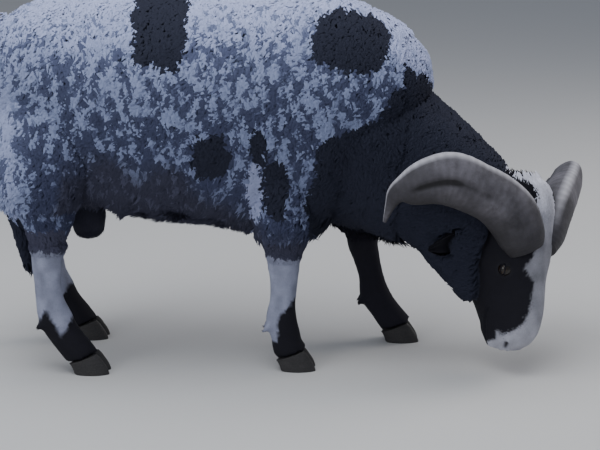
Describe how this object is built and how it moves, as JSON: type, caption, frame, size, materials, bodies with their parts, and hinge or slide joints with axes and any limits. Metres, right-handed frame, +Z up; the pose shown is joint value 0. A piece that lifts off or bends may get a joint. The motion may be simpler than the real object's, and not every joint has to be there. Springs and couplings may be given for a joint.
{
  "type": "grazing ram",
  "caption": "Life-size piebald horned ram, standing with its head down to graze, with a shaggy fleece, long ears, a woolly tail and cloven hooves.",
  "frame": {"origin": "middle of the ram's box in plan, on the ground that its soles stand on", "axes": "+X ahead, towards the lowered head; +Y to the ram's left; +Z up"},
  "size_m": [1.1989, 0.4303, 0.7342],
  "materials": {
    "white wool": "matt, shaggy locks",
    "mottled wool": "matt, shaggy locks speckled blue-grey on white",
    "black wool": "matt, shaggy locks",
    "black hair": "short flat hair with a soft sheen",
    "white hair": "short flat hair",
    "horn": "dry ringed keratin, satin on the keel",
    "hoof": "dull dark horn",
    "eye": "wet and glossy"
  },
  "bodies": {
    "root": {"barrel": "mottled wool", "ear_left": "black hair", "ear_right": "black hair", "eye_left": "eye", "eye_right": "eye", "fore_hoof_left_inner": "hoof", "fore_hoof_left_outer": "hoof", "fore_hoof_right_inner": "hoof", "fore_hoof_right_outer": "hoof", "fore_shank_left": "white hair", "fore_shank_right": "white hair", "forearm_left": "mottled wool", "forearm_right": "mottled wool", "head": "black hair", "hind_hoof_left_inner": "hoof", "hind_hoof_left_outer": "hoof", "hind_hoof_right_inner": "hoof", "hind_hoof_right_outer": "hoof", "hind_shank_left": "white hair", "hind_shank_right": "white hair", "horn_left": "horn", "horn_right": "horn", "neck": "black wool", "rump": "white wool", "scrotum": "black hair", "shoulders": "mottled wool", "tail": "white wool", "thigh_left": "mottled wool", "thigh_right": "mottled wool"}
  },
  "joints": []
}
